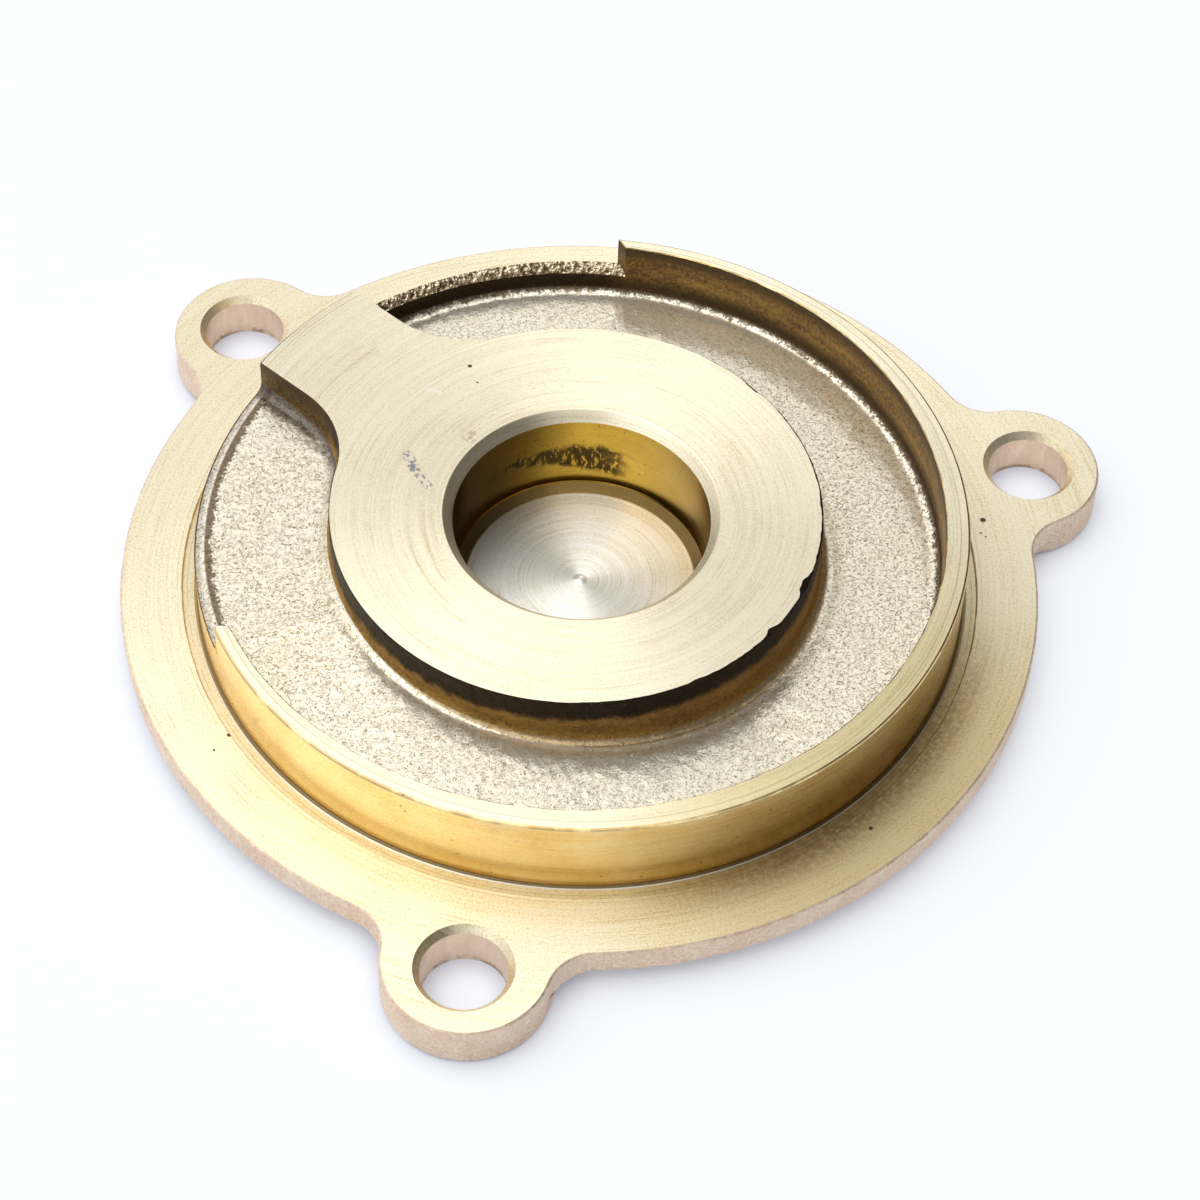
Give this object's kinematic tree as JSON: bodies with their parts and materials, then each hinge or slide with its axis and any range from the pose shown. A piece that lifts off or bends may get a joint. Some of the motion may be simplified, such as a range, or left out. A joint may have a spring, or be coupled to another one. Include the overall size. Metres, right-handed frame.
{
  "type": "pump impeller cover",
  "caption": "Round cast brass cover of a pump: a turned spigot holds a side channel with a climbing floor around a hub with a blind bore, and lugs on its flange take the bolts.",
  "frame": {"origin": "spigot axis on the flange face that meets the pump housing", "axes": "+Z along the spigot axis, out of the flange face into the pump; -Y is the side with the lone bolt lug, which faces the viewer"},
  "size_m": [0.1091, 0.1107, 0.015],
  "materials": {
    "brass": "sand cast, with the joint side turned"
  },
  "bodies": {
    "root": {"impeller_cover": "brass"}
  },
  "joints": []
}
